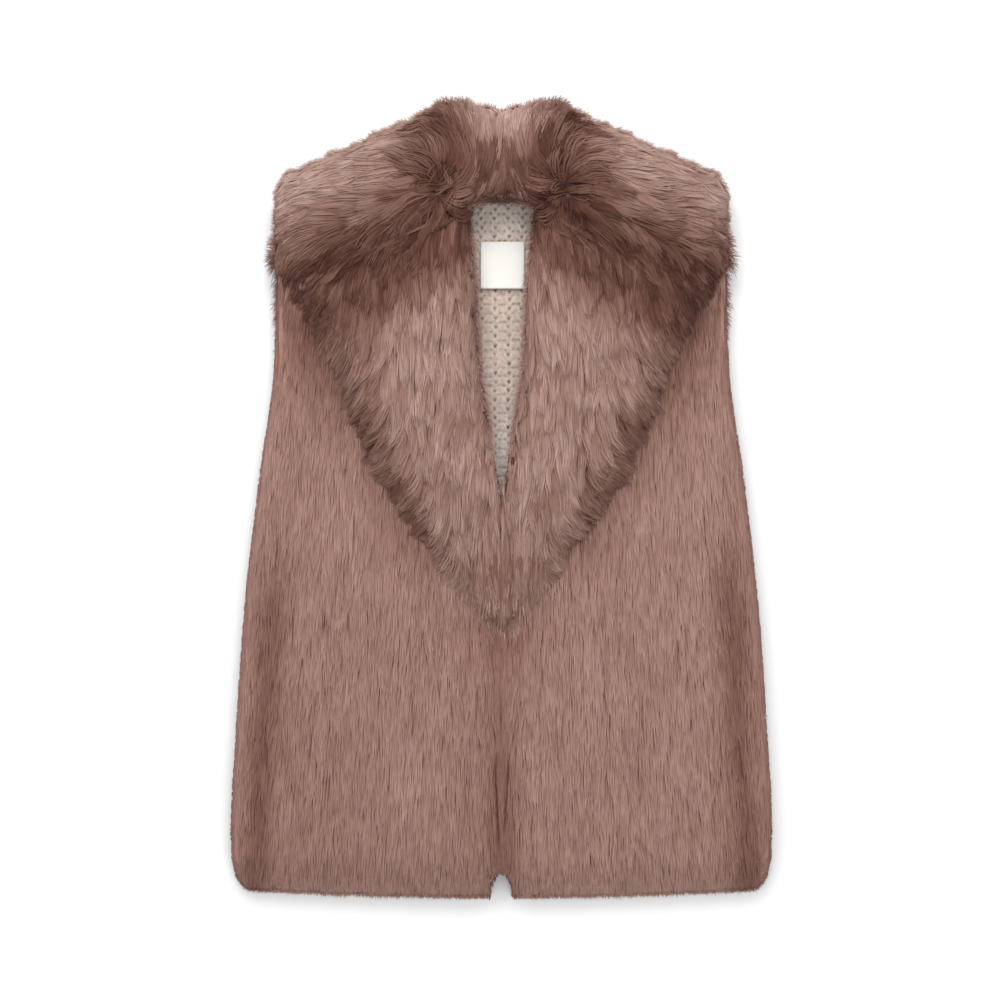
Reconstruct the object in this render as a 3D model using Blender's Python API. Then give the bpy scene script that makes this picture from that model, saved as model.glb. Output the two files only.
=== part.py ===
"""Faux fur vest, laid flat on its back with its front up.

Each sewn piece is one closed solid. A fur piece is its backing cloth with the pile lying on it,
out to the tips of the pile. X runs across the vest, Y from the hem to the collar, and Z up from
the surface that the vest lies on. Sizes and tables are in millimetres, in one frame whose X = 0
is the vest's centre line; the finished pieces are then moved so that the middle of the vest's
box is over the origin. Left and right are the wearer's, so left is at +X.
"""
import math
from collections import namedtuple

import bmesh
import bpy
from mathutils import Vector

MM = 0.001

# Layers, from the surface up
SEAM_GAP = 0.3            # between two sewn pieces
BACK_PILE = 14.0          # the back's pile, pressed flat under the vest's own weight
KNIT_WALL = 2.7           # the knitted ground of the back, seen through the open neck
KNIT_BOTTOM = BACK_PILE + SEAM_GAP
KNIT_TOP = KNIT_BOTTOM + KNIT_WALL
FRONT_BOTTOM = KNIT_TOP + SEAM_GAP
PRESSED_TOP = 33.4        # the front's pile where the collar and lapels lie on it
COLLAR_BOTTOM = PRESSED_TOP + SEAM_GAP

# Rounded edge of a fur piece
EDGE_STEPS = (0.0, 3.0, 9.0, 18.0)   # distances from the edge that get a line of points
EDGE_REACH = EDGE_STEPS[-1]
EDGE_SHARE = 0.38         # height of the widest line, as a share of the pile
SEAM_SHARE = 0.74         # the same where two fur pieces are sewn together and their pile closes
ROLL_START = 6.0          # half width of the open front from which its edges are fully rounded
NARROW = 54.0             # a piece narrower than this has its edge steps squeezed
TUCK = 5.0                # the underside's edge lies this far in from the widest line

# Pressed zone of the fronts, round the outline of collar and lapels
PRESS_MARGIN = 22.0
PRESS_RISE = 30.0

# Locks of the pile
FRONT_LOCK_HEIGHT = 1.6
FRONT_LOCK_LENGTH = 120.0
FRONT_LOCK_SHIFT = 2.4               # phase from one line of locks to the next
TUFT_STEPS = (0.0, 0.6, 1.0)         # one lock along an edge, from its root to its tip
TUFT_MIDDLE = 0.4
TUFT_VARIETY = 0.25                  # how much one tuft differs from another
TUFT_SHIFT = 3.7

# Hem of the fronts, which hangs past the back's hem and droops to the surface
HEM_DROP = ((0.0, 0.0), (9.0, 2.0), (18.0, 9.5), (30.0, FRONT_BOTTOM))

Section = namedtuple("Section", "inner_x inner_y outer_x outer_y pile bow")

# Front, from the hem to the shoulder seam: inner is the centre front edge and then the roll line
# and the neck, outer is the side seam and then the armhole
FRONT_SECTIONS = (
    Section(10.8, -397.5, 256.0, -389.5, 19.0, 2.0),
    Section(10.2, -390.0, 265.0, -380.0, 20.0, 2.0),
    Section(8.8, -379.5, 269.5, -366.0, 21.0, 1.5),
    Section(0.2, -366.0, 271.0, -350.0, 22.0, 1.0),
    Section(0.2, -325.0, 271.0, -312.0, 24.0, 0.0),
    Section(0.2, -262.0, 267.5, -256.0, 25.0, 0.0),
    Section(0.2, -180.0, 263.0, -180.0, 26.0, 0.0),
    Section(0.2, -90.0, 256.5, -95.0, 26.0, 0.0),
    Section(0.2, -8.0, 248.0, -20.0, 26.0, 0.0),
    Section(9.0, 50.0, 241.0, 38.0, 26.0, 0.0),
    Section(18.0, 96.0, 233.5, 85.0, 26.0, 0.0),
    Section(25.0, 155.0, 228.0, 130.0, 26.0, 0.0),
    Section(28.0, 220.0, 226.5, 170.0, 26.0, 0.0),
    Section(36.0, 290.0, 226.0, 210.0, 25.0, 0.0),
    Section(49.0, 311.0, 225.0, 250.0, 24.0, 0.0),
    Section(65.0, 332.0, 225.0, 285.0, 22.0, 0.0),
    Section(80.5, 360.0, 224.0, 311.5, 20.0, 0.0),
)

# Lapel, from its point at the centre front up to the gorge seam: inner is the roll line, outer
# is the loose edge that lies on the front
LAPEL_SECTIONS = (
    Section(0.2, -121.0, 8.0, -122.0, 9.0, 0.0),
    Section(0.2, -100.0, 28.0, -101.0, 14.0, 0.0),
    Section(0.2, -72.0, 50.0, -73.0, 19.0, 0.0),
    Section(0.2, -40.0, 71.0, -41.0, 24.0, 0.0),
    Section(0.2, -16.0, 90.0, -16.0, 27.0, 0.0),
    Section(0.6, 6.0, 106.0, 7.0, 30.0, 0.0),
    Section(5.5, 32.0, 121.0, 34.0, 32.0, 0.0),
    Section(9.0, 60.0, 134.0, 62.0, 33.0, 0.0),
    Section(15.0, 95.0, 146.0, 92.0, 34.0, 0.0),
    Section(20.5, 132.0, 158.0, 122.0, 35.0, 0.0),
    Section(22.8, 172.0, 172.0, 153.0, 36.0, 0.0),
    Section(24.0, 210.0, 186.0, 184.0, 36.0, 0.0),
    Section(28.0, 248.0, 199.0, 205.0, 36.0, 0.0),
    Section(33.0, 290.0, 206.0, 216.0, 34.0, 0.0),
)

# Collar half, from the centre back seam round to the gorge's outer end: inner is the neck seam
# and then the gorge seam, outer is the loose edge over neck and shoulder
COLLAR_SECTIONS = (
    Section(0.2, 297.0, 0.2, 389.0, 30.0, 0.0),
    Section(12.0, 297.0, 20.0, 393.0, 36.0, 0.0),
    Section(24.0, 295.5, 38.0, 398.5, 43.0, 0.0),
    Section(35.0, 290.4, 57.0, 395.5, 45.0, 0.0),
    Section(55.0, 281.8, 82.0, 385.0, 43.0, 0.0),
    Section(78.0, 272.0, 110.0, 372.5, 41.0, 0.0),
    Section(102.0, 261.7, 140.0, 359.0, 40.0, 0.0),
    Section(126.0, 251.5, 169.0, 345.5, 39.0, 0.0),
    Section(148.0, 242.1, 197.0, 334.5, 37.0, 0.0),
    Section(168.0, 233.5, 220.0, 322.0, 34.0, 0.0),
    Section(184.0, 226.7, 225.5, 297.0, 31.0, 0.0),
    Section(195.0, 222.0, 225.0, 264.0, 28.0, 0.0),
    Section(203.0, 218.5, 229.5, 240.0, 22.0, 0.0),
)

# Under collar half, from the centre back along the neckline and the shoulder seam: it fills the
# space between the surface and the collar, past the edge of the back
UNDER_SECTIONS = (
    Section(0.0, 298.0, 0.0, 381.0, PRESSED_TOP, 0.0),
    Section(14.0, 299.2, 18.0, 386.0, PRESSED_TOP, 0.0),
    Section(30.0, 303.5, 36.0, 391.5, PRESSED_TOP, 0.0),
    Section(46.0, 314.0, 56.0, 389.5, PRESSED_TOP, 0.0),
    Section(62.0, 333.5, 78.0, 380.0, PRESSED_TOP, 0.0),
    Section(80.0, 363.0, 94.0, 373.5, PRESSED_TOP, 0.0),
    Section(112.0, 352.0, 116.0, 363.0, PRESSED_TOP, 0.0),
    Section(148.0, 339.6, 150.0, 347.0, PRESSED_TOP, 0.0),
)

# The two places where the collar's pile parts and turns from the neck to the shoulders
WHORL_AT = (63.0, 312.0)
WHORL_RADIUS = 17.0
WHORL_DEPTH = 12.0

Corner = namedtuple("Corner", "x y")

# Back, half outline: the hem, the side seam and armhole, the shoulder seam, the neckline
BACK_HEM = (Corner(0.0, -374.0), Corner(90.0, -374.0), Corner(180.0, -372.0), Corner(245.0, -368.0))
BACK_SIDE = (
    Corner(262.0, -360.0), Corner(268.5, -345.0), Corner(268.5, -312.0), Corner(265.0, -256.0),
    Corner(260.5, -180.0), Corner(254.0, -95.0), Corner(245.5, -20.0), Corner(238.5, 38.0),
    Corner(231.0, 85.0), Corner(226.0, 130.0), Corner(224.5, 170.0), Corner(224.0, 250.0),
    Corner(223.0, 311.0),
)
BACK_NECK = (Corner(79.5, 361.0), Corner(62.0, 332.0), Corner(46.0, 312.6), Corner(34.0, 304.5))
NECK_Y = 296.6            # the lowest part of the neckline, behind the neck
BACK_NECK_MIDDLE = (Corner(18.0, NECK_Y + 1.0), Corner(0.0, NECK_Y))
# Rounded edge of the back's pile: how far inside its outline it is at a height
BACK_EDGE = ((4.5, 0.0), (1.2, 2.5), (0.0, 6.0), (1.2, 10.5), (4.5, BACK_PILE))

# Knitted ground: it stops short of the side seams and the hem
KNIT_SIDE_INSET = 6.5
KNIT_NECK_INSET = (0.6, 1.0)
KNIT_HEM_Y = -350.0
KNIT_HEM_HALF = 120.0
STITCH_WIDTH = 13.6
STITCH_HEIGHT = 9.2
STITCH_CELLS = 4          # cells across and along one repeat of the stitch
STITCH_DEPTH = 1.7
# Depth of each point of one repeat, from crown to crown: a round eyelet at its corner and a wide
# one at its middle, between the two legs of the next loop
STITCH = (
    (1.00, 0.20, 0.00, 0.20),
    (0.35, 0.00, 0.20, 0.00),
    (0.00, 0.55, 0.80, 0.55),
    (0.20, 0.00, 0.25, 0.00),
)
# Half width of the open neck where the knit shows, at heights above the point of the V
OPENING_AT = (5.0, 13.0, 30.0, 60.0, 95.0, 132.0, 172.0, 210.0, 248.0, NECK_Y)
OPENING_HALF = (2.0, 5.0, 7.0, 11.0, 17.0, 23.0, 25.0, 26.5, 31.0, 33.5)

# Woven label, bare, on the knit under the back neck
LABEL_CENTRE = (1.0, 235.5)
LABEL_SIZE = (44.0, 47.0)
LABEL_WALL = 0.8
LABEL_CORNER = 1.5

Looks = namedtuple("Looks", "red green blue roughness")
FUR_TAUPE = Looks(0.31, 0.19, 0.16, 0.72)
FUR_LIGHT = Looks(0.35, 0.22, 0.18, 0.70)
FUR_DARK = Looks(0.25, 0.14, 0.12, 0.75)
KNIT_BEIGE = Looks(0.50, 0.40, 0.34, 0.90)
LABEL_CREAM = Looks(0.90, 0.88, 0.82, 0.65)


def curve_value(stations, values, place):
    """Value at a place on a smooth curve through the stations, which doesn't overshoot them."""
    slopes = [(b - a) / (t - s) for a, b, s, t in
              zip(values, values[1:], stations, stations[1:])]
    tangents = [slopes[0]]
    for before, after in zip(slopes, slopes[1:]):
        same_way = before * after > 0.0
        tangents.append(2.0 * before * after / (before + after) if same_way else 0.0)
    tangents.append(slopes[-1])
    last = len(slopes) - 1
    span = next((k for k in range(last) if place < stations[k + 1]), last)
    width = stations[span + 1] - stations[span]
    t = min(max((place - stations[span]) / width, 0.0), 1.0)
    start = values[span] * (1.0 + 2.0 * t) + tangents[span] * width * t
    end = values[span + 1] * (3.0 - 2.0 * t) - tangents[span + 1] * width * (1.0 - t)
    return start * (1.0 - t) ** 2 + end * t ** 2


def table_stations(table):
    """Distance of each section from the first one, along the longer of the two edges."""
    stations = [0.0]
    for before, after in zip(table, table[1:]):
        inner = math.hypot(after.inner_x - before.inner_x, after.inner_y - before.inner_y)
        outer = math.hypot(after.outer_x - before.outer_x, after.outer_y - before.outer_y)
        stations.append(stations[-1] + max(inner, outer))
    return stations


def section_at(table, stations, place):
    """The section at a distance along a piece, read from its table."""
    return Section(*(curve_value(stations, column, place) for column in zip(*table)))


def spread(length, spaces, round_start=True):
    """Distances from one edge to the other, close together where an edge is rounded."""
    squeeze = min(1.0, length / NARROW)
    near = [step * squeeze for step in EDGE_STEPS]
    start = near if round_start else [0.0]
    end = [length - step for step in reversed(near)]
    stretch = end[0] - start[-1]
    middle = [start[-1] + stretch * k / spaces for k in range(1, spaces)]
    return start + middle + end


def edge_height(distance, length, edge_share):
    """Share of the pile's height at a distance from a rounded edge of a piece."""
    reach = EDGE_REACH * min(1.0, length / NARROW)
    share = min(max(distance / reach, 0.0), 1.0)
    return edge_share + (1.0 - edge_share) * math.sqrt(1.0 - (1.0 - share) ** 2)


def tuft_at(row):
    """How far the lock at a row of an edge stands out, from 0 at its root to 1 at its tip."""
    lock, step = divmod(row, len(TUFT_STEPS))
    return TUFT_STEPS[step] * (1.0 - TUFT_VARIETY * (1.0 - math.sin(TUFT_SHIFT * lock + 1.0)))


def ease(share):
    """Smooth step from 0 to 1."""
    share = min(max(share, 0.0), 1.0)
    return share * share * (3.0 - 2.0 * share)


def distance_outside(x, y, outline):
    """Distance from a point to a closed outline: above 0 outside it, below 0 inside."""
    nearest = math.inf
    inside = False
    for (ax, ay), (bx, by) in zip(outline, outline[1:] + outline[:1]):
        length_squared = (bx - ax) ** 2 + (by - ay) ** 2
        along = ((x - ax) * (bx - ax) + (y - ay) * (by - ay)) / length_squared
        along = min(max(along, 0.0), 1.0)
        nearest = min(nearest, math.hypot(x - ax - along * (bx - ax), y - ay - along * (by - ay)))
        if (ay > y) != (by > y) and x < ax + (bx - ax) * (y - ay) / (by - ay):
            inside = not inside
    return -nearest if inside else nearest


def collar_outline():
    """Outline of the collar and the lapel together, on one side of the centre line."""
    outline = [(row.outer_x, row.outer_y) for row in LAPEL_SECTIONS + COLLAR_SECTIONS[::-1]]
    return [(0.0, LAPEL_SECTIONS[0].outer_y)] + outline + [(0.0, COLLAR_SECTIONS[0].outer_y)]


def new_material(name, looks):
    material = bpy.data.materials.new(name)
    material.use_nodes = True
    shader = material.node_tree.nodes["Principled BSDF"]
    shader.inputs["Base Color"].default_value = (looks.red, looks.green, looks.blue, 1.0)
    shader.inputs["Roughness"].default_value = looks.roughness
    shader.inputs["Metallic"].default_value = 0.0
    return material


def new_object(name, mesh_data, looks):
    """Closes a bmesh in millimetres into an object in metres with its own material."""
    bmesh.ops.recalc_face_normals(mesh_data, faces=mesh_data.faces)
    bmesh.ops.scale(mesh_data, vec=(MM, MM, MM), verts=mesh_data.verts)
    mesh = bpy.data.meshes.new(name)
    mesh_data.to_mesh(mesh)
    mesh_data.free()
    mesh.shade_smooth()
    mesh.set_sharp_from_angle(angle=math.radians(50.0))
    mesh.materials.append(new_material(name, looks))
    piece = bpy.data.objects.new(name, mesh)
    bpy.context.scene.collection.objects.link(piece)
    return piece


class FurPiece:
    """A fur piece lofted through its table of sections, from an inner edge to an outer edge."""

    round_start = True        # False where the first section is a flat cut at the centre back seam
    end_share = EDGE_SHARE    # height of the pile at the last section, as a share of the whole

    def __init__(self, table, side, rows, columns):
        self.table = table
        self.side = side
        self.columns = columns
        self.stations = table_stations(table)
        self.length = self.stations[-1]
        self.places = spread(self.length, rows, self.round_start)

    def floor(self, place):
        """Height of the underside at a distance along the piece."""
        return COLLAR_BOTTOM

    def inner_share(self, section):
        """Share of the pile's height at the inner edge: it closes where two fronts meet."""
        return SEAM_SHARE + (EDGE_SHARE - SEAM_SHARE) * ease(section.inner_x / ROLL_START)

    def push_out(self, row):
        """How far the outer edge stands out past its table at a row."""
        return 0.0

    def surface(self, x, y, height, row, column, across):
        """Final height of a point of the pile; across is 0 at the inner edge and 1 at the outer."""
        return height

    def end_height(self, place):
        """Share of the pile's height that the rounded ends leave at a distance along."""
        share = edge_height(self.length - place, self.length, self.end_share)
        if self.round_start:
            share *= edge_height(place, self.length, EDGE_SHARE)
        return share

    def build(self, name, looks):
        data = bmesh.new()
        top = []
        bottom = []
        for row, place in enumerate(self.places):
            section = section_at(self.table, self.stations, place)
            start = Vector((section.inner_x, section.inner_y))
            run = Vector((section.outer_x, section.outer_y)) - start
            run *= 1.0 + self.push_out(row) / run.length
            width = run.length
            floor = self.floor(place)
            pile = section.pile * self.end_height(place)
            line = []
            for column, distance in enumerate(spread(width, self.columns)):
                across = distance / width
                x, y = start + run * across
                y -= section.bow * 4.0 * across * (1.0 - across)
                share = edge_height(distance, width, self.inner_share(section))
                share *= edge_height(width - distance, width, EDGE_SHARE)
                height = self.surface(x, y, floor + pile * share, row, column, across)
                line.append(data.verts.new((self.side * x, y, height)))
            tuck = run * (TUCK * min(1.0, width / NARROW) / width)
            ends = (start + tuck, start + run - tuck)
            bottom.append([data.verts.new((self.side * x, y, floor)) for x, y in ends])
            top.append(line)
        for near, far in zip(top, top[1:]):
            for a, b, c, d in zip(near, near[1:], far[1:], far):
                data.faces.new((a, b, c, d))
        for k in range(len(top) - 1):
            inner, outer = bottom[k]
            next_inner, next_outer = bottom[k + 1]
            data.faces.new((inner, next_inner, next_outer, outer))
            data.faces.new((inner, top[k][0], top[k + 1][0], next_inner))
            data.faces.new((outer, next_outer, top[k + 1][-1], top[k][-1]))
        data.faces.new([bottom[0][0], bottom[0][1]] + top[0][::-1])
        data.faces.new([bottom[-1][1], bottom[-1][0]] + top[-1])
        return new_object(name, data, looks)


class Front(FurPiece):
    """Front panel: it droops over the back's hem and is pressed flat under collar and lapel."""

    outline = collar_outline()

    def floor(self, place):
        stations, heights = zip(*HEM_DROP)
        return curve_value(stations, heights, place)

    def surface(self, x, y, height, row, column, across):
        if 0.0 < across < 1.0:
            wave = 2.0 * math.pi * y / FRONT_LOCK_LENGTH + FRONT_LOCK_SHIFT * column + self.side
            height += FRONT_LOCK_HEIGHT * math.sin(wave) * self.end_height(self.places[row])
        if height <= PRESSED_TOP:
            return height
        rise = distance_outside(x, y, self.outline) - PRESS_MARGIN
        return PRESSED_TOP + (height - PRESSED_TOP) * ease(rise / PRESS_RISE)


class Lapel(FurPiece):
    """Lapel: locks hang past its loose edge, and the pile thins towards it."""

    end_share = SEAM_SHARE
    tuft = 8.0
    lock_height = 3.0
    thinning = 0.22

    def push_out(self, row):
        ends = row in (0, len(self.places) - 1)
        return 0.0 if ends else self.tuft * (tuft_at(row) - TUFT_MIDDLE)

    def surface(self, x, y, height, row, column, across):
        pile = height - COLLAR_BOTTOM
        pile *= 1.0 - self.thinning * across ** 2
        lock = self.lock_height * (tuft_at(row) - TUFT_MIDDLE) * across
        return COLLAR_BOTTOM + pile * (1.0 + lock / self.table[-1].pile)


class Collar(Lapel):
    """Collar half: like the lapel, with a hollow where its pile parts."""

    round_start = False
    end_share = EDGE_SHARE
    tuft = 6.0
    lock_height = 2.6
    thinning = 0.30

    def inner_share(self, section):
        return SEAM_SHARE

    def surface(self, x, y, height, row, column, across):
        height = super().surface(x, y, height, row, column, across)
        away = math.hypot(x - WHORL_AT[0], y - WHORL_AT[1]) / WHORL_RADIUS
        return height - WHORL_DEPTH * math.exp(-away ** 2)


class UnderCollar(FurPiece):
    """Under collar: it lies on the surface and carries the collar behind the neck."""

    def inner_share(self, section):
        return EDGE_SHARE

    def floor(self, place):
        return 0.0

    def surface(self, x, y, height, row, column, across):
        return min(height, PRESSED_TOP)


def mirrored(table):
    """The sections of a whole piece, from the table of one half that starts at the centre line."""
    other = [row._replace(inner_x=-row.inner_x, outer_x=-row.outer_x) for row in table[:0:-1]]
    return tuple(other) + tuple(table)


def half_curve(corners, spaces):
    """Points on a smooth curve through corners, evenly many between each two."""
    stations = [0.0]
    for before, after in zip(corners, corners[1:]):
        stations.append(stations[-1] + math.dist(before, after))
    columns = list(zip(*corners))
    points = []
    for before, after in zip(stations, stations[1:]):
        for k in range(spaces):
            place = before + (after - before) * k / spaces
            points.append(tuple(curve_value(stations, column, place) for column in columns))
    return points + [tuple(corners[-1])]


def whole_outline(half):
    """A closed outline from its half, which runs from the hem's middle round to the neck."""
    other = [(-x, y) for x, y in half[:0:-1] if x > 0.0]
    return half + other


def inset_outline(outline, inset):
    """An outline whose points are moved inwards, along the mean of their two edges' normals."""
    moved = []
    count = len(outline)
    for k, point in enumerate(outline):
        before = Vector(point) - Vector(outline[k - 1])
        after = Vector(outline[(k + 1) % count]) - Vector(point)
        way = before.normalized() + after.normalized()
        way.normalize()
        moved.append((point[0] - way.y * inset, point[1] + way.x * inset))
    return moved


def join_rings(data, rings):
    """Joins rings of points, each as long as the next, into a wall that is open at both ends."""
    for low, high in zip(rings, rings[1:]):
        for a, b, c, d in zip(low, low[1:] + low[:1], high[1:] + high[:1], high):
            data.faces.new((a, b, c, d))


def build_back_fur():
    """Back panel: its pile faces down and is flat where it rests."""
    half = half_curve(BACK_HEM + BACK_SIDE, 2)
    half += half_curve(BACK_NECK, 2) + [tuple(corner) for corner in BACK_NECK_MIDDLE]
    outline = whole_outline(half)
    data = bmesh.new()
    rings = []
    for inset, height in BACK_EDGE:
        ring = inset_outline(outline, inset)
        rings.append([data.verts.new((x, y, height)) for x, y in ring])
    join_rings(data, rings)
    data.faces.new(rings[0][::-1])
    data.faces.new(rings[-1])
    return new_object("back_fur", data, FUR_DARK)


def opening_cells(cell_width, cell_height):
    """How many cells the knit shows on each side of the centre line, row by row from the neck."""
    counts = []
    y = NECK_Y
    while y - cell_height > OPENING_AT[0]:
        y -= cell_height
        half = curve_value(OPENING_AT, OPENING_HALF, y + cell_height / 2.0)
        counts.append(max(1, round(half / cell_width)))
    return counts


def opening_edge(counts):
    """Grid places along the stepped edge of the shown knit, down its right side."""
    steps = []
    for row, count in enumerate(counts):
        steps += [(row, count), (row + 1, count)]
        narrower = counts[row + 1] if row + 1 < len(counts) else 0
        steps += [(row + 1, column) for column in range(count - 1, narrower - 1, -1)]
    return list(dict.fromkeys(steps))


def build_back_knit():
    """Knitted ground of the back, with its stitches raised where the open neck shows them."""
    cell_width = STITCH_WIDTH / STITCH_CELLS
    cell_height = STITCH_HEIGHT / STITCH_CELLS
    counts = opening_cells(cell_width, cell_height)
    edge = opening_edge(counts)
    flat = set(edge) | {(0, column) for column in range(counts[0] + 1)}
    data = bmesh.new()
    grid = {}
    for row in range(len(counts) + 1):
        reach = counts[max(row - 1, 0)]
        for column in range(-reach, reach + 1):
            depth = STITCH[row % STITCH_CELLS][column % STITCH_CELLS] * STITCH_DEPTH
            if (row, abs(column)) in flat:
                depth = 0.0
            place = (column * cell_width, NECK_Y - row * cell_height, KNIT_TOP - depth)
            grid[row, column] = data.verts.new(place)
    for row, count in enumerate(counts):
        for column in range(-count, count):
            corners = ((row, column), (row + 1, column), (row + 1, column + 1), (row, column + 1))
            data.faces.new([grid[corner] for corner in corners])

    side = [(x - KNIT_SIDE_INSET, max(y, KNIT_HEM_Y)) for x, y in half_curve(BACK_SIDE[1:], 1)]
    neck = [(x - KNIT_NECK_INSET[0], y - KNIT_NECK_INSET[1]) for x, y in half_curve(BACK_NECK, 1)]
    half = [(KNIT_HEM_HALF, KNIT_HEM_Y)] + side + neck[:-1]
    right = [data.verts.new((x, y, KNIT_TOP)) for x, y in half]
    left = [data.verts.new((-x, y, KNIT_TOP)) for x, y in half]
    steps_right = [grid[place] for place in edge]
    steps_left = [grid[row, -column] for row, column in edge if column > 0]
    data.faces.new(right + steps_right + steps_left[::-1] + left[::-1])

    neck_row = [grid[0, column] for column in range(-counts[0] + 1, counts[0])]
    rim = right + [grid[0, counts[0]]] + neck_row[::-1] + [grid[0, -counts[0]]] + left[::-1]
    floor = [data.verts.new((vert.co.x, vert.co.y, KNIT_BOTTOM)) for vert in rim]
    join_rings(data, [floor, rim])
    data.faces.new(floor[::-1])
    return new_object("back_knit", data, KNIT_BEIGE)


def build_label():
    """Woven label: a thin plate with its corners cut."""
    data = bmesh.new()
    bmesh.ops.create_cube(data, size=1.0)
    bmesh.ops.scale(data, vec=(*LABEL_SIZE, LABEL_WALL), verts=data.verts)
    upright = [e for e in data.edges if abs(e.verts[0].co.z - e.verts[1].co.z) > LABEL_WALL / 2.0]
    bmesh.ops.bevel(data, geom=upright, offset=LABEL_CORNER, segments=2, profile=0.5,
                    affect="EDGES")
    height = KNIT_TOP + SEAM_GAP + LABEL_WALL / 2.0
    bmesh.ops.translate(data, vec=(*LABEL_CENTRE, height), verts=data.verts)
    return new_object("label", data, LABEL_CREAM)


def centre_on_origin(pieces):
    """Moves all the pieces so that the middle of the vest's box is over the origin."""
    points = [vert.co for piece in pieces for vert in piece.data.vertices]
    middle_x = (min(p.x for p in points) + max(p.x for p in points)) / 2.0
    middle_y = (min(p.y for p in points) + max(p.y for p in points)) / 2.0
    for piece in pieces:
        piece.location = (-middle_x, -middle_y, 0.0)


def main():
    for old in list(bpy.data.objects):
        bpy.data.objects.remove(old, do_unlink=True)
    pieces = [build_back_fur(), build_back_knit(), build_label()]
    for name, side in (("left", 1), ("right", -1)):
        front = Front(FRONT_SECTIONS, side, rows=40, columns=14)
        pieces.append(front.build("front_" + name, FUR_TAUPE))
        lapel = Lapel(LAPEL_SECTIONS, side, rows=34, columns=8)
        pieces.append(lapel.build("lapel_" + name, FUR_LIGHT))
        collar = Collar(COLLAR_SECTIONS, side, rows=38, columns=7)
        pieces.append(collar.build("collar_" + name, FUR_TAUPE))
    under = UnderCollar(mirrored(UNDER_SECTIONS), 1, rows=24, columns=2)
    pieces.append(under.build("collar_under", FUR_DARK))
    centre_on_origin(pieces)


main()
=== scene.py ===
"""Looks of the faux fur vest that lies flat with its front up: pelts, fur, knit and label.

Sizes are in metres, in the frame's own axes: X across the vest, Y from the hem to the collar and
Z up from the floor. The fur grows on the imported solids, whose surface is the envelope of the
pile. Most fields are written for one side, with the distance from the centre line as across.
"""
import math
from collections import namedtuple

import bpy
import numpy as np
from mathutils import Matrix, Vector
from mathutils import noise as field_noise
from mathutils.bvhtree import BVHTree
from mathutils.kdtree import KDTree


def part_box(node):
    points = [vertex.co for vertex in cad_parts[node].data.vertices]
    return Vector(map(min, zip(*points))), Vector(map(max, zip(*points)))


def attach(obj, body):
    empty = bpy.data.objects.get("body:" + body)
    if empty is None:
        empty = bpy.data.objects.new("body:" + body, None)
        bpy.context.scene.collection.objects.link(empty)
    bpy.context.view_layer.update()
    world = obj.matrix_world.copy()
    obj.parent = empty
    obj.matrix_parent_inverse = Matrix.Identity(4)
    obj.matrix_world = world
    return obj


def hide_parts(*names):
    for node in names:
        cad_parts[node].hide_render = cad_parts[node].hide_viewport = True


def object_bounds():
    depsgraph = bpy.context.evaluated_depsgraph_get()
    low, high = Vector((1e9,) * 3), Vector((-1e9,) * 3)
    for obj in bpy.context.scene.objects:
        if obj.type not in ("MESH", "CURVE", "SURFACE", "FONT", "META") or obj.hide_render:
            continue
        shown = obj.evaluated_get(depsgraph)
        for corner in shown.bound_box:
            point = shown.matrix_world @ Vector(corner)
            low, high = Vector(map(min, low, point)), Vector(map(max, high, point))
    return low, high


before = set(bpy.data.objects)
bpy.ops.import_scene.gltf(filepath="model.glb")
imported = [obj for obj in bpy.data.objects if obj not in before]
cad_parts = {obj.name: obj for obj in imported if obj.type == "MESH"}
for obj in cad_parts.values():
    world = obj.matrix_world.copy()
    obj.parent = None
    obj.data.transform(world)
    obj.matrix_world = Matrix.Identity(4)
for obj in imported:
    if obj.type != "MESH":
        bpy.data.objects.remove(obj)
cad_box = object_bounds()

MM = 0.001
BODY = "root"
PHOTO_WIDTH = 1.0                 # what the photo's frame spans at the widest line of the fronts
VIEW_CENTRE = (-0.0015, -0.0004)  # the photo's centre, in the frame's own axes
VIEW_PLANE = 0.027
LENS = 180.0
SENSOR = 36.0

# Pelt: the backing cloth and the short underfur on it
PELT_DEPTH = 7.0 * MM             # how far it lies under the tips of the pile
FRONT_PELT_DEPTH = 4.2 * MM       # the same where the pile lies flatter
PELT_WALL = 2.0 * MM
UNDERSIDE = -0.5                  # a face whose normal points down more than this is the underside

# Grid of the relief that the upper side's strands lie on
RELIEF_CELL = 2.0 * MM
RELIEF_MARGIN = 24.0 * MM
CLOSE_CELLS = 5                   # a seam narrower than twice this is closed by the pile
BLUR_CELLS = 3
REACH_CELLS = 8
RIM_CELLS = 2                     # how far in from the outline its finest strands grow
FRINGE_DROOP = 0.45
OVERLAP_CELLS = 20
UNDER_EDGE = 16.0 * MM            # how far under another piece's edge a coat still has roots

# The two places where the collar's pile parts and turns to the shoulders
WHORL = np.array((64.0, 309.0)) * MM
WHORL_REACH = 42.0 * MM
WHORL_HALF = 5.0 * MM             # half of the length over which it parts

# Edges of a lapel, as distances from the centre line at heights above the origin
LAPEL_HEIGHT = np.array((-122.0, -73.0, -41.0, 7.0, 60.0, 130.0, 210.0, 290.0)) * MM
LAPEL_INNER = np.array((0.0, 0.0, 0.0, 1.5, 9.0, 20.5, 24.0, 33.0)) * MM
LAPEL_OUTER = np.array((8.0, 50.0, 71.0, 106.0, 133.0, 161.0, 200.0, 215.0)) * MM

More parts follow.
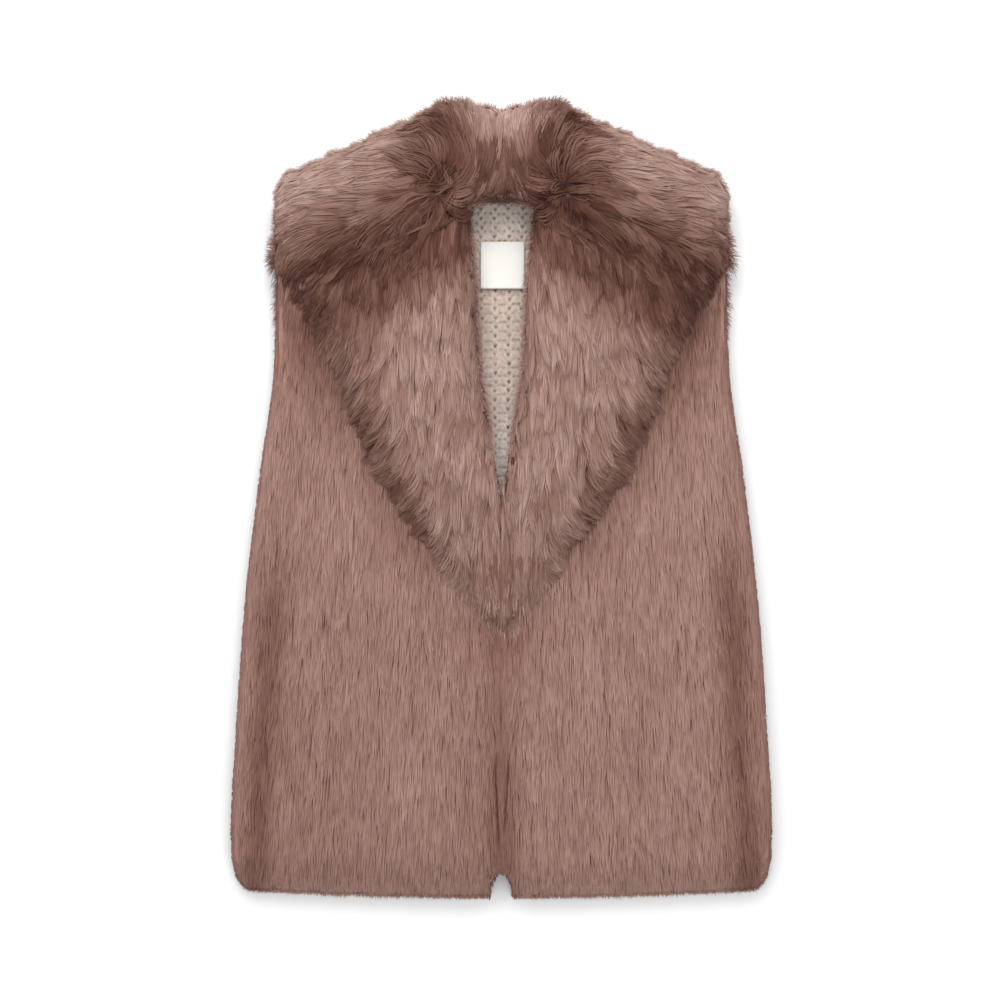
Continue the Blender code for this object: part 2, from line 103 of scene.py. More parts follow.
# Knit at the open neck
STITCH_WIDTH = 13.8 * MM
STITCH_HEIGHT = 9.1 * MM
STITCH_START = 7.3 * MM           # where one column of holes is
KNIT_NECK = 300.0 * MM
KNIT_LOW = -3.0 * MM
KNIT_CELL = 0.9 * MM
KNIT_COLUMNS = 74
KNIT_RISE = 1.3 * MM
OPENING_HEIGHT = np.array((-3.0, 5.0, 30.0, 60.0, 95.0, 132.0, 210.0, 300.0)) * MM
OPENING_HALF = np.array((1.5, 4.0, 9.0, 13.0, 19.0, 25.0, 29.0, 38.0)) * MM

# Crease between the collar and the lapels, as heights at distances from the centre line
GORGE_ACROSS = np.array((30.0, 62.0, 102.0, 152.0, 202.0, 240.0)) * MM
GORGE_HEIGHT = np.array((296.0, 276.0, 264.0, 242.0, 222.0, 208.0)) * MM

# Way the collar's pile lies over the shoulder, from straight down to outwards, at heights over
# that crease
SHOULDER_HEIGHT = np.array((-20.0, 0.0, 18.0, 42.0, 75.0, 110.0)) * MM
SHOULDER_ANGLE = np.array((24.0, 36.0, 56.0, 78.0, 82.0, 72.0))

# Slits at the centre front: their ends, half width and depth of shade
Slit = namedtuple("Slit", "top_x top_y low_x low_y wide depth")
SLITS = (
    Slit(-0.0010, -0.090, -0.0010, -0.205, 0.0010, 0.22),
    Slit(-0.0005, -0.206, -0.0005, -0.234, 0.0012, 0.62),
    Slit(-0.0065, -0.261, -0.0025, -0.347, 0.0012, 0.78),
    Slit(0.0075, -0.260, 0.0025, -0.332, 0.0012, 0.68),
)

# Linear colours
ROOT_BROWN = (0.190, 0.100, 0.077)
BODY_BROWN = (0.290, 0.158, 0.129)
TIP_BROWN = (0.385, 0.232, 0.195)
PELT_BROWN = (0.195, 0.103, 0.081)
YARN_BEIGE = (0.640, 0.525, 0.455)
KNIT_SHADOW = (0.200, 0.145, 0.115)
LABEL_CREAM = (0.900, 0.880, 0.830)
FLOOR_WHITE = (0.930, 0.930, 0.930)
SHADE_POWERS = (0.85, 1.12, 1.22)  # how strongly shade acts on red, green and blue

# Strands
NORMAL_SPREAD = 0.09              # how much they differ in the way they face the light
STEEPEST = 0.38                   # steepest slope that they take from the surface
# Painted light that makes up for the shade on the edges
SIDE_PAINTED_LIGHT = 1.25                  # how much lighter they are on the edges
DEEP_SHADE = 0.28                 # how much darker the deepest are
RIM_SHADE = 1.14                  # how much lighter the fine ones of the outline are
RIM_WIDTH = 0.38                  # and how much narrower
NEAR_TOP = 3.0 * MM               # a root no deeper than this lies on the upper side
OFF_FLOOR = 0.4 * MM
SHORTEST = 0.15                   # share of its length that one cut off at the outline keeps
SIDE_FALL = 0.35                  # how steeply those on the edges head down
ROLL = 0.4                        # most that a ribbon is turned about its length, in radians
TAPER = 0.4                       # how much narrower it would be at its tip
HABITS = np.dtype([(name, float) for name in
                   ("length", "turn", "deep", "reach", "overlap", "drift_x", "drift_y")])

# Label
LABEL_WALL = 0.7 * MM
LABEL_RIM = 2.2 * MM              # width of its turned edge
LABEL_COLUMNS = 24
LABEL_ROWS = 26

FLOOR_HALF = 6.0
SKY_STRENGTH = 0.85

# Places with painted shade, lighter strands or a length of strands of their own: the middle, and
# the reach each way
Place = namedtuple("Place", "across y wide high")
PARTING = Place(*WHORL, 0.028, 0.036)
WHORL_POINT = Place(WHORL[0], WHORL[1] - 0.003, 0.006, 0.008)
HUMP = Place(0.053, 0.350, 0.023, 0.060)
HUMP_TOP = Place(0.048, 0.392, 0.024, 0.016)
NECK_SIDE = Place(0.042, 0.298, 0.016, 0.014)
LIGHT_TUFT = Place(-0.044, 0.300, 0.016, 0.011)
WING_CORNER = Place(0.230, 0.232, 0.022, 0.034)
WING_LOW = Place(0.212, 0.212, 0.040, 0.030)
# Painted shade under the low corner of the collar's wing
WING_SHADE_POCKET = Place(0.187, 0.196, 0.013, 0.020)
LAPEL_TIP = Place(0.0, -0.100, 0.055, 0.055)
NOTCH = Place(0.009, -0.386, 0.012, 0.020)

Look = namedtuple("Look", "gain contrast tint")


def smooth_step(value, low, high):
    """0 below low, 1 above high and a smooth step between them."""
    share = np.clip((value - low) / (high - low), 0.0, 1.0)
    return share * share * (3.0 - 2.0 * share)


def fade(value, low, high):
    """1 below low, 0 above high and a smooth step between them."""
    return 1.0 - smooth_step(value, low, high)


def dots(first, second):
    """Dot products of two arrays' rows."""
    return np.einsum("ij,ij->i", first, second)


def unit(vectors):
    """Vectors along an array's last axis, scaled to a length of one."""
    length = np.linalg.norm(vectors, axis=-1, keepdims=True)
    return vectors / np.maximum(length, 1e-12)


def flank(places):
    """Distances from the centre line and heights of some places, as the fields take them."""
    return np.abs(places[:, 0]), places[:, 1]


def scaled(colour, factor):
    """A colour times a number."""
    return tuple(channel * factor for channel in colour)


class Nodes:
    """Short calls for building a material's node tree."""

    def __init__(self, name):
        self.material = bpy.data.materials.new(name)
        self.material.use_nodes = True
        self.tree = self.material.node_tree
        self.shader = self.tree.nodes["Principled BSDF"]

    def feed(self, node, inputs):
        """Links a node's inputs to sockets, or sets them to plain values."""
        for name, value in inputs.items():
            if isinstance(value, bpy.types.NodeSocket):
                self.tree.links.new(value, node.inputs[name])
            else:
                node.inputs[name].default_value = value

    def add(self, kind, inputs, **settings):
        """The outputs of a new node with these inputs and settings."""
        node = self.tree.nodes.new("ShaderNode" + kind)
        for key, value in settings.items():
            setattr(node, key, value)
        self.feed(node, inputs)
        return node.outputs

    def math(self, operation, first, second):
        """A number worked out from two."""
        return self.add("Math", {0: first, 1: second}, operation=operation)[0]

    def noise(self, scale, stretch=(1.0, 1.0, 1.0), detail=2.0):
        """Noise in object space: scale in waves per metre, and a stretch for each axis."""
        place = self.add("TexCoord", {})["Object"]
        place = self.add("Mapping", {"Vector": place, "Scale": stretch})["Vector"]
        return self.add("TexNoise", {"Vector": place, "Scale": scale, "Detail": detail})["Fac"]

    def span(self, value, low, high, to_low, to_high):
        """A number moved from one span to another."""
        inputs = {"Value": value, "From Min": low, "From Max": high}
        return self.add("MapRange", inputs | {"To Min": to_low, "To Max": to_high})["Result"]

    def ramp(self, value, *stops):
        """A colour between stops, each a place from 0 to 1 and its colour."""
        node = self.tree.nodes.new("ShaderNodeValToRGB")
        elements = node.color_ramp.elements
        while len(elements) < len(stops):
            elements.new(0.5)
        for element, (place, colour) in zip(elements, stops):
            element.position = place
            element.color = (*colour, 1.0)
        self.feed(node, {"Fac": value})
        return node.outputs["Color"]

    def dim(self, colour, factor):
        """A colour times a number."""
        return self.add("VectorMath", {0: colour, "Scale": factor}, operation="SCALE")["Vector"]

    def deepen(self, colour, factor):
        """A colour times a number, which turns redder where the number is low."""
        powers = {k: self.math("POWER", factor, power) for k, power in enumerate(SHADE_POWERS)}
        channels = self.add("CombineXYZ", powers)["Vector"]
        return self.add("VectorMath", {0: colour, 1: channels}, operation="MULTIPLY")["Vector"]

    def bump(self, height, strength, distance):
        """Makes the surface look raised where a number is high."""
        inputs = {"Height": height, "Strength": strength, "Distance": distance}
        self.feed(self.shader, {"Normal": self.add("Bump", inputs)["Normal"]})

    def finish(self, colour, roughness, specular, sheen, sheen_roughness):
        """The material, with its shader's inputs set."""
        self.feed(self.shader, {"Base Color": colour, "Roughness": roughness,
                                "Specular IOR Level": specular, "Sheen Weight": sheen,
                                "Sheen Roughness": sheen_roughness})
        return self.material


def fur_material(name, gain, contrast, tint):
    """Fur: dark at the root and light at the tip, with each strand's own tone and painted shade
    and light.
    """
    nodes = Nodes(name)
    strand = nodes.add("Attribute", {}, attribute_name="strand")["Color"]
    split = nodes.add("SeparateColor", {"Color": strand})
    body = tuple(c * gain * t for c, t in zip(BODY_BROWN, tint))
    tip = tuple(c * gain * t for c, t in zip(TIP_BROWN, tint))
    colour = nodes.ramp(split["Red"], (0.0, ROOT_BROWN), (0.30, body), (1.0, tip))
    tone = nodes.span(split["Green"], 0.0, 1.0, 1.0 - contrast, 1.0 + contrast)
    patches = nodes.span(nodes.noise(16.0, (1.0, 0.35, 1.0)), 0.3, 0.7, 0.92, 1.08)
    streaks = nodes.span(nodes.noise(85.0, (1.0, 0.28, 1.0)), 0.3, 0.7, 0.94, 1.06)
    factor = nodes.math("MULTIPLY", tone, nodes.math("MULTIPLY", patches, streaks))
    # Blue of the strand attribute is painted shade and light from the coat's fields
    factor = nodes.math("MULTIPLY", factor, split["Blue"])
    return nodes.finish(nodes.deepen(colour, factor), 0.72, 0.12, 0.02, 0.50)


def pelt_material(name, gain):
    """Underfur between the roots: dark, in fine streaks that run with the pile."""
    nodes = Nodes(name)
    streaks = nodes.noise(420.0, (1.0, 0.08, 1.0), 3.0)
    dark = scaled(PELT_BROWN, gain)
    nodes.bump(streaks, 0.7, 0.002)
    colour = nodes.ramp(streaks, (0.3, dark), (0.75, scaled(dark, 1.35)))
    return nodes.finish(colour, 0.85, 0.1, 0.1, 0.5)


def yarn_material():
    """Soft matt yarn with short fibres, with the painted shade and light of its loops: dark in the
    holes between them.
    """
    nodes = Nodes("knit yarn")
    fibres = nodes.noise(1400.0, (1.0, 1.0, 1.0), 4.0)
    colour = nodes.ramp(fibres, (0.3, scaled(YARN_BEIGE, 0.80)), (0.62, YARN_BEIGE))
    colour = nodes.dim(colour, nodes.span(nodes.noise(60.0), 0.3, 0.7, 0.92, 1.05))
    # The loops attribute is painted shade and light of the knit
    loops = nodes.add("Attribute", {}, attribute_name="loops")["Fac"]
    nodes.bump(fibres, 0.5, 0.0006)
    return nodes.finish(nodes.deepen(colour, loops), 0.92, 0.12, 0.35, 0.5)


def knit_backing_material():
    """Shade between the loops of the knit."""
    nodes = Nodes("knit backing")
    streaks = nodes.noise(260.0)
    colour = nodes.ramp(streaks, (0.35, KNIT_SHADOW), (0.7, scaled(KNIT_SHADOW, 1.5)))
    nodes.bump(streaks, 0.4, 0.001)
    return nodes.finish(colour, 0.95, 0.08, 0.2, 0.5)


def label_material():
    """Bare woven label: a fine satin weave."""
    nodes = Nodes("label weave")
    place = nodes.add("TexCoord", {})["Object"]
    inputs = {"Vector": place, "Scale": 420.0, "Distortion": 0.4}
    threads = [nodes.add("TexWave", inputs, bands_direction=way)["Fac"] for way in "XY"]
    weave = nodes.math("MULTIPLY", *threads)
    colour = nodes.ramp(weave, (0.0, scaled(LABEL_CREAM, 0.93)), (0.6, LABEL_CREAM))
    nodes.bump(weave, 0.25, 0.0002)
    return nodes.finish(colour, 0.55, 0.3, 0.15, 0.4)


def floor_material():
    """Plain pale sweep, hardly mottled."""
    nodes = Nodes("pale floor")
    colour = nodes.ramp(nodes.noise(3.0), (0.3, scaled(FLOOR_WHITE, 0.985)), (0.7, FLOOR_WHITE))
    return nodes.finish(colour, 0.9, 0.1, 0.0, 0.5)


def link_object(name, data):
    """A new object in the scene."""
    thing = bpy.data.objects.new(name, data)
    bpy.context.scene.collection.objects.link(thing)
    return thing


def solid_mesh(name, points, faces):
    """Smooth mesh from points and faces."""
    mesh = bpy.data.meshes.new(name)
    mesh.from_pydata(np.asarray(points).tolist(), [], [tuple(map(int, face)) for face in faces])
    mesh.shade_smooth()
    mesh.update()
    return mesh


def paint(mesh, name, colours):
    """Gives each point of a mesh a colour, which its material reads by name."""
    attribute = mesh.attributes.new(name, "FLOAT_COLOR", "POINT")
    attribute.data.foreach_set("color", colours.ravel())


def new_piece(name, mesh, material):
    """Links a mesh as a piece of the vest, in its own material."""
    mesh.materials.append(material)
    piece = link_object(name, mesh)
    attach(piece, BODY)
    return piece


class Skin:
    """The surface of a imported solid: places on it, and the nearest place to a point."""

    def __init__(self, node):
        self.node = node
        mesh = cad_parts[node].data
        mesh.calc_loop_triangles()
        points = np.array([v.co for v in mesh.vertices])
        keys = {}
        merged = [keys.setdefault(tuple(np.round(p, 6)), len(keys)) for p in points]
        triangles = np.array([t.vertices for t in mesh.loop_triangles])
        self.triangles = np.array(merged)[triangles]
        self.points = np.array(list(keys))
        corners = self.points[self.triangles]
        cross = np.cross(corners[:, 1] - corners[:, 0], corners[:, 2] - corners[:, 0])
        keep = np.linalg.norm(cross, axis=1) > 1e-12
        self.triangles = self.triangles[keep]
        self.corners = corners[keep]
        self.area = np.linalg.norm(cross[keep], axis=1) / 2.0
        self.normals = unit(cross[keep])
        smooth = np.zeros_like(self.points)
        for corner in range(3):
            np.add.at(smooth, self.triangles[:, corner], cross[keep])
        self.smooth = unit(smooth)
        self.tree = BVHTree.FromPolygons(self.points.tolist(), self.triangles.tolist())
        self.low, self.high = self.points.min(axis=0), self.points.max(axis=0)

    def spans(self, x, y):
        """True where the surface's box lies over or under a place."""
        return (self.low[0] <= x <= self.high[0]) and (self.low[1] <= y <= self.high[1])

    def shell(self, name, depth, wall):
        """Mesh of a thin shell under the surface, open where the solid rests."""
        faces = [tuple(t) for t, n in zip(self.triangles, self.normals) if n[2] > UNDERSIDE]
        used = sorted({index for face in faces for index in face})
        order = {index: k for k, index in enumerate(used)}
        faces = [tuple(order[index] for index in face) for face in faces]
        place, normal = self.points[used], self.smooth[used]
        outer = place - normal * depth
        inner = place - normal * (depth + wall)
        count = len(used)
        edges = dict.fromkeys(pair for face in faces for pair in zip(face, face[1:] + face[:1]))
        rim = [(b, a, a + count, b + count) for a, b in edges if (b, a) not in edges]
        turned = [tuple(index + count for index in reversed(face)) for face in faces]
        return solid_mesh(name, np.vstack((outer, inner)), faces + turned + rim)

    def inset(self, name, depth):
        """Mesh of the whole closed surface, moved inwards."""
        faces = [tuple(face) for face in self.triangles]
        return solid_mesh(name, self.points - self.smooth * depth, faces)

    def scatter(self, rng, count, lowest):
        """Random places spread evenly over the faces whose normal points up more than lowest."""
        weight = np.where(self.normals[:, 2] > lowest, self.area, 0.0)
        face = rng.choice(len(weight), size=count, p=weight / weight.sum())
        first, second = np.sqrt(rng.random(count)), rng.random(count)
        share = np.stack((1.0 - first, first * (1.0 - second), first * second), axis=1)
        return np.einsum("ij,ijk->ik", share, self.corners[face])

    def settle(self, points):
        """The nearest places on the surface to some points, and its smooth normals there."""
        places = np.empty_like(points)
        faces = np.empty(len(points), dtype=int)
        nearest = self.tree.find_nearest
        for k, point in enumerate(points.tolist()):
            place, _, faces[k], _ = nearest(point)
            places[k] = place
        corner = self.corners[faces]
        first, second = corner[:, 1] - corner[:, 0], corner[:, 2] - corner[:, 0]
        offset = places - corner[:, 0]
        aa = dots(first, first)
        ab = dots(first, second)
        bb = dots(second, second)
        oa = dots(offset, first)
        ob = dots(offset, second)
        scale = aa * bb - ab * ab
        u = np.clip((bb * oa - ab * ob) / scale, 0.0, 1.0)[:, None]
        v = np.clip((aa * ob - ab * oa) / scale, 0.0, 1.0)[:, None]
        smooth = self.smooth[self.triangles[faces]]
        normals = smooth[:, 0] * (1.0 - u - v) + smooth[:, 1] * u + smooth[:, 2] * v
        return places, unit(normals)


def bell(value, wide):
    """1 where a value is 0, falling off to both sides over a width."""
    return np.exp(-(value / wide) ** 2)


def spot(across, y, place):
    """1 in the middle of a place and 0 far from it."""
    over, along = (across - place.across) / place.wide, (y - place.y) / place.high
    return np.exp(-over ** 2 - along ** 2)


def below_gorge(across, y):
    """Height of the gorge over a place: positive on the lapel and negative on the collar."""
    return np.interp(across, GORGE_ACROSS, GORGE_HEIGHT) - y


def front_flow(across, y):
    """Way the fur of a front lies: down to the hem, a little outwards at the side."""
    inwards = math.radians(-3.0) * fade(across, 0.002, 0.020)
    return inwards + math.radians(5.0) * across / 0.25


def lapel_share(across, y):
    """0 at the roll line of a lapel and 1 at its loose edge."""
    inner = np.interp(y, LAPEL_HEIGHT, LAPEL_INNER)
    outer = np.interp(y, LAPEL_HEIGHT, LAPEL_OUTER)
    return (across - inner) / (outer - inner)


def low_end(across, y):
    """1 at the low end of the lapels, where they run into the fronts, and 0 elsewhere."""
    return fade(across, 0.026, 0.070) * smooth_step(-y, 0.015, 0.070)


def lapel_flow(across, y):
    """Way the fur of a lapel lies: down, turning outwards in tufts at the loose edge."""
    share = np.clip(lapel_share(across, y), 0.0, 1.2)
    most = np.radians(28.0 + 26.0 * fade(y, 0.0, 0.20))
    flare = most * smooth_step(share, 0.58, 1.05)
    low = low_end(across, y)
    return np.radians(2.0 - 8.0 * low) + flare * (1.0 - 0.9 * low)


def lapel_overlap(across, y):
    """How far the tips of a lapel's fur may lie over the front."""
    return 17.0 * MM + 21.0 * MM * low_end(across, y)


def collar_overlap(across, y):
    """How far the tips of the collar's fur may lie over the lapel."""
    return np.full_like(across, 32.0 * MM)


def collar_flow(across, y):
    """Way the fur of the collar lies, as an angle from straight down to outwards."""
    over_gorge = y - np.interp(across, GORGE_ACROSS, GORGE_HEIGHT)
    shoulder = np.radians(np.interp(over_gorge, SHOULDER_HEIGHT, SHOULDER_ANGLE))
    shoulder = shoulder - math.radians(24.0) * smooth_step(across, 0.190, 0.240)
    behind_neck = math.radians(172.0) - math.radians(22.0) * smooth_step(across, 0.015, 0.055)
    turned = smooth_step(across, 0.046, 0.090)
    calm = behind_neck * (1.0 - turned) + shoulder * turned
    away_x, away_y = across - WHORL[0], y - WHORL[1]
    away_y = away_y - np.clip(away_y, -WHORL_HALF, WHORL_HALF)
    distance = np.hypot(away_x, away_y) + 1e-6
    near = np.exp(-(distance / WHORL_REACH) ** 1.6)
    out = np.sin(calm) * (1.0 - near) + away_x / distance * near * 1.4
    down = np.cos(calm) * (1.0 - near) - away_y / distance * near * 1.4
    return np.arctan2(out, down)


def back_flow(across, y):
    """Way the fur of the back lies: straight down to the hem."""
    return np.full_like(across, math.radians(3.0))


def front_shade(across, y):
    """Painted shade on the fur of the fronts: darker by the side seams, under the lapels and at
    the centre front.
    """
    side = np.interp(y, (-0.39, -0.05, 0.20), (0.247, 0.225, 0.215))
    band = bell(across - side, 0.016) * fade(y, -0.10, 0.02)
    beyond = np.maximum(across - np.interp(y, LAPEL_HEIGHT, LAPEL_OUTER), 0.0)
    high = smooth_step(y, 0.080, 0.150)
    lapel = np.exp(-beyond / (0.018 + 0.022 * high)) * smooth_step(y, -0.075, -0.035)
    lapel = lapel * (0.30 + 0.16 * high)
    centre = bell(across, 0.016) * (0.6 + 0.4 * smooth_step(-y, 0.16, 0.26))
    hem = smooth_step(-y, 0.355, 0.395)
    shade = (1.0 - 0.44 * band) * (1.0 - lapel) * (1.0 - 0.45 * spot(across, y, WING_SHADE_POCKET))
    shade = shade * (1.0 - 0.40 * centre) * (1.0 - 0.20 * spot(across, y, LAPEL_TIP))
    return shade * (1.0 + 0.12 * hem)


def front_painted_slits(x, y):
    """Painted shade in the slits at the centre front, where the two edges stand a little apart."""
    shade = np.ones_like(x)
    for slit in SLITS:
        middle = np.interp(y, (slit.low_y, slit.top_y), (slit.low_x, slit.top_x))
        dark = bell(x - middle, slit.wide)
        dark = dark * smooth_step(y, slit.low_y - 0.008, slit.low_y + 0.012)
        dark = dark * fade(y, slit.top_y - 0.008, slit.top_y + 0.006)
        shade = shade * (1.0 - slit.depth * dark)
    return shade


def lapel_shade(across, y):
    """Painted shade and light on the fur of a lapel: dark under the gorge and at its loose edge,
    light along its middle.
    """
    share = np.clip(lapel_share(across, y), 0.0, 1.2)
    reach = 0.037 + 0.27 * np.maximum(across - 0.05, 0.0)
    gorge = bell(np.maximum(below_gorge(across, y), 0.0), reach)
    edge = smooth_step(share, 0.55, 0.95) * fade(-y, 0.025, 0.075)
    edge = edge * (1.0 - 0.60 * smooth_step(y, 0.095, 0.150))
    roll = fade(share, 0.0, 0.14)
    middle = bell(share - 0.36, 0.24) * smooth_step(y, -0.05, 0.10)
    shade = (1.00 + 0.15 * middle) * (1.0 - 0.80 * gorge) * (1.0 - 0.46 * edge)
    return np.maximum(shade * (1.0 - 0.08 * roll), 0.34)


def collar_shade(across, y):
    """Painted shade on the fur of the collar: dark where it parts, by the gorge and low behind the
    neck.
    """
    parting_shade = spot(across, y, PARTING)
    gorge = bell(np.maximum(-below_gorge(across, y), 0.0), 0.054)
    gorge = gorge * smooth_step(across, 0.022, 0.048)
    behind = fade(across, 0.022, 0.042)
    inner = behind * bell(y - 0.306, 0.027)
    shade = (1.21 - 0.28 * parting_shade) * (1.0 - 0.88 * spot(across, y, HUMP)) * (1.0 - 0.80 * gorge)
    shade = shade * (1.0 + 0.05 * behind) * (1.0 - 0.70 * inner)
    return np.maximum(shade, 0.26 + 0.10 * parting_shade)


def collar_painted_lines(x, y):
    """Painted shade in the crease of the wearer's left half and at the whorls, and the lighter
    tuft at the neck of the right.
    """
    dark = bell(y - 0.314 + 0.42 * x, 0.0032)
    dark = dark * smooth_step(x, 0.028, 0.040) * fade(x, 0.080, 0.110)
    light, point = spot(x, y, LIGHT_TUFT), spot(np.abs(x), y, WHORL_POINT)
    return (1.0 - 0.72 * dark) * (1.0 + 0.90 * light) * (1.0 - 0.12 * point)


def plain_shade(across, y):
    """Fur with no shade of its own."""
    return np.ones_like(across)


def shaggy_wing(across, y):
    """How much longer the collar's outer strands are: most at the low corner of its wing."""
    longer = 1.0 + 1.2 * spot(across, y, WING_CORNER) + 1.4 * spot(across, y, NECK_SIDE)
    return longer + 0.6 * spot(across, y, HUMP_TOP)


def shaggy_front(across, y):
    """How long the fronts' outer strands are: short at the sides and by the notch in the hem,
    and long under the collar's low corner."""
    hem = fade(y, -0.392, -0.372)
    corner = bell(y - 0.205, 0.040)
    return (0.42 + 0.50 * hem + 0.85 * corner) * (1.0 - 0.75 * spot(across, y, NOTCH))


def shaggy_lapel(across, y):
    """How much shorter a lapel's outer strands are at the low end of the open neck."""
    return 0.25 + 0.75 * smooth_step(y, 0.010, 0.080)


def lapel_merge(across, y):
    """1 at a lapel's loose edge and low end, whose strands all lie over the step to the front."""
    return np.maximum(smooth_step(lapel_share(across, y), 0.60, 0.80), low_end(across, y))


def collar_merge(across, y):
    """1 at the low corner of the collar's wing, whose strands lie over the step to the front."""
    return spot(across, y, WING_LOW)


class Relief:
    """Heights of the vest's upper side over a level grid, with the seams closed by the pile."""

    def __init__(self, furs, others):
        low, high = cad_box
        self.corner = np.array(low[:2]) - RELIEF_MARGIN
        size = np.array(high[:2]) + RELIEF_MARGIN - self.corner
        self.columns, self.rows = (np.ceil(size / RELIEF_CELL).astype(int) + 1).tolist()
        height = np.zeros((self.rows, self.columns))
        fur = np.zeros((self.rows, self.columns), dtype=bool)
        owner = np.full((self.rows, self.columns), "", dtype=object)
        down = Vector((0.0, 0.0, -1.0))
        top = high[2] + 0.01
        for row in range(self.rows):
            y = self.corner[1] + row * RELIEF_CELL
            for column in range(self.columns):
                start = Vector((self.corner[0] + column * RELIEF_CELL, y, top))
                for group, is_fur in ((furs, True), (others, False)):
                    for skin in group:
                        if not skin.spans(start.x, start.y):
                            continue
                        hit = skin.tree.ray_cast(start, down)[0]
                        if hit is not None and hit.z > height[row, column]:
                            height[row, column] = hit.z
                            fur[row, column] = is_fur
                            owner[row, column] = skin.node
        self.raw = height
        closed = -shifted_max(-shifted_max(height, CLOSE_CELLS), CLOSE_CELLS)
        self.height = blurred(closed, BLUR_CELLS)
        self.slope_y, self.slope_x = np.gradient(self.height, RELIEF_CELL)
        inner = -shifted_max(-fur.astype(float), 1) > 0.5
        self.outside = distance_to(inner, REACH_CELLS)
        self.to_bare = distance_to(~fur, RIM_CELLS + 1)
        self.out_y, self.out_x = np.gradient(-blurred(fur.astype(float), BLUR_CELLS))
        self.owner = owner

    def sample(self, field, x, y):
        """Values of a field at some places, smooth between the grid's points."""
        column = np.clip((x - self.corner[0]) / RELIEF_CELL, 0.0, self.columns - 1.001)
        row = np.clip((y - self.corner[1]) / RELIEF_CELL, 0.0, self.rows - 1.001)
        i, j = column.astype(int), row.astype(int)
        u, v = column - i, row - j
        lower = field[j, i] * (1.0 - u) + field[j, i + 1] * u
        upper = field[j + 1, i] * (1.0 - u) + field[j + 1, i + 1] * u
        return lower * (1.0 - v) + upper * v


def offsets(cells):
    """Steps to the grid points within a circle."""
    span = range(-cells, cells + 1)
    return [(i, j) for i in span for j in span if i * i + j * j <= cells * cells + 1]


def shifted(field, i, j, fill):
    """A field moved by some cells, with a value where nothing moves in."""
    rows, columns = field.shape
    moved = np.full_like(field, fill)
    moved[max(j, 0):rows + min(j, 0), max(i, 0):columns + min(i, 0)] = \
        field[max(-j, 0):rows + min(-j, 0), max(-i, 0):columns + min(-i, 0)]
    return moved


def shifted_max(field, cells):
    """The highest value within a circle round each grid point."""
    result = field.copy()
    for i, j in offsets(cells):
        result = np.maximum(result, shifted(field, i, j, -1.0))
    return result


def blurred(field, cells):
    """Mean over a circle round each grid point, weighted towards its middle."""
    total, weights = np.zeros_like(field), 0.0
    for i, j in offsets(2 * cells):
        weight = math.exp(-(i * i + j * j) / (cells * cells))
        total += shifted(field, i, j, 0.0) * weight
        weights += weight
    return total / weights


def distance_to(mask, cells):
    """Distance from each grid point to the nearest point of a mask, up to a number of cells."""
    near = np.full(mask.shape, float(cells))
    for i, j in offsets(cells):
        moved = shifted(mask.astype(float), i, j, 0.0)
        near = np.where(moved > 0.5, np.minimum(near, math.hypot(i, j)), near)
    return near * RELIEF_CELL


